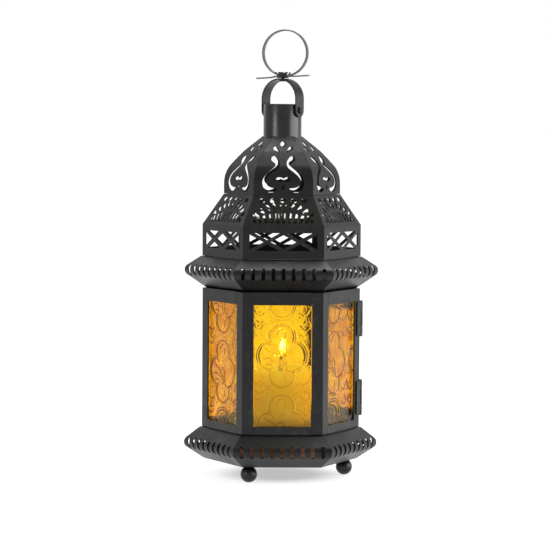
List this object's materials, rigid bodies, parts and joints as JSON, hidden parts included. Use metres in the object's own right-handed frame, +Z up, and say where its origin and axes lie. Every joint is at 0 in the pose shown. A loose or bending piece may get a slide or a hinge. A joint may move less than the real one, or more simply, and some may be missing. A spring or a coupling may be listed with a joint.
{
  "type": "hexagonal candle lantern",
  "caption": "Hexagonal metal candle lantern with pressed amber glass, pierced domed crown, slotted rims, ball feet, hinged glass door, latch, swinging bail and swivelling hanging ring.",
  "frame": {"origin": "on the surface the lantern stands on, at the centre of its plan, under its vertical axis", "axes": "+Z up along the lantern's axis; the front glass faces -Y; two corners of the hexagon lie on the X axis; the door's hinges are at the +X corner"},
  "size_m": [0.136, 0.1178, 0.3112],
  "materials": {
    "painted_sheet": "satin black paint on sheet steel",
    "painted_fittings": "satin black paint on small turned and pressed fittings",
    "satin_tube": "satin black paint on a drawn tube, a little glossier than the sheet",
    "amber_glass": "pressed amber glass with a raised floral pattern",
    "wax": "cream candle wax",
    "wick": "charred braided cotton"
  },
  "bodies": {
    "housing": {"base_plate": "painted_sheet", "lower_rim": "painted_sheet", "ball_foot_left": "painted_fittings", "ball_foot_right": "painted_fittings", "ball_foot_rear": "painted_fittings", "foot_screw_left": "painted_fittings", "foot_screw_right": "painted_fittings", "foot_screw_rear": "painted_fittings", "bottom_band": "painted_sheet", "top_band": "painted_sheet", "corner_post_right": "painted_sheet", "corner_post_rear_right": "painted_sheet", "corner_post_rear_left": "painted_sheet", "corner_post_left": "painted_sheet", "corner_post_front_left": "painted_sheet", "corner_post_front_right": "painted_sheet", "glass_front": "amber_glass", "glass_front_right": "amber_glass", "glass_rear": "amber_glass", "glass_rear_left": "amber_glass", "glass_front_left": "amber_glass", "hinge_fixed_leaf_lower": "painted_sheet", "hinge_fixed_leaf_upper": "painted_sheet", "hinge_pin_lower": "painted_fittings", "hinge_pin_upper": "painted_fittings", "upper_rim": "painted_sheet", "lattice_skirt": "painted_sheet", "pierced_shoulder": "painted_sheet", "dome_gore_front": "painted_sheet", "dome_gore_front_right": "painted_sheet", "dome_gore_rear_right": "painted_sheet", "dome_gore_rear": "painted_sheet", "dome_gore_rear_left": "painted_sheet", "dome_gore_front_left": "painted_sheet", "chimney": "satin_tube", "bail_rivet_right": "painted_fittings", "bail_rivet_left": "painted_fittings", "candle_cup": "painted_sheet", "pillar_candle": "wax", "candle_wick": "wick"},
    "door": {"door_frame": "painted_sheet", "door_glass": "amber_glass", "hinge_door_leaf_lower": "painted_sheet", "hinge_door_leaf_upper": "painted_sheet"},
    "latch": {"latch_knob": "painted_fittings", "latch_tongue": "painted_sheet"},
    "bail": {"bail_strap": "painted_sheet"},
    "ring": {"hanging_ring": "painted_sheet", "ring_collar": "painted_sheet", "ring_rivet": "painted_fittings"}
  },
  "joints": [
    {"name": "door_swing", "type": "hinge", "parent": "housing", "child": "door", "pos_m": [0.05595, 0.00135, 0.0826], "axis": [0, 0, -1], "range_deg": [0, 110]},
    {"name": "latch_turn", "type": "hinge", "parent": "door", "child": "latch", "pos_m": [0.0295, 0.04417, 0.082], "axis": [-0.866, -0.5, 0], "range_deg": [0, 90]},
    {"name": "bail_swing", "type": "hinge", "parent": "housing", "child": "bail", "pos_m": [0, 0, 0.2553], "axis": [0.8192, -0.5736, 0], "range_deg": [-90, 90]},
    {"name": "ring_swivel", "type": "hinge", "parent": "bail", "child": "ring", "pos_m": [0, 0, 0.2773], "axis": [0, 0, 1], "continuous": true}
  ]
}
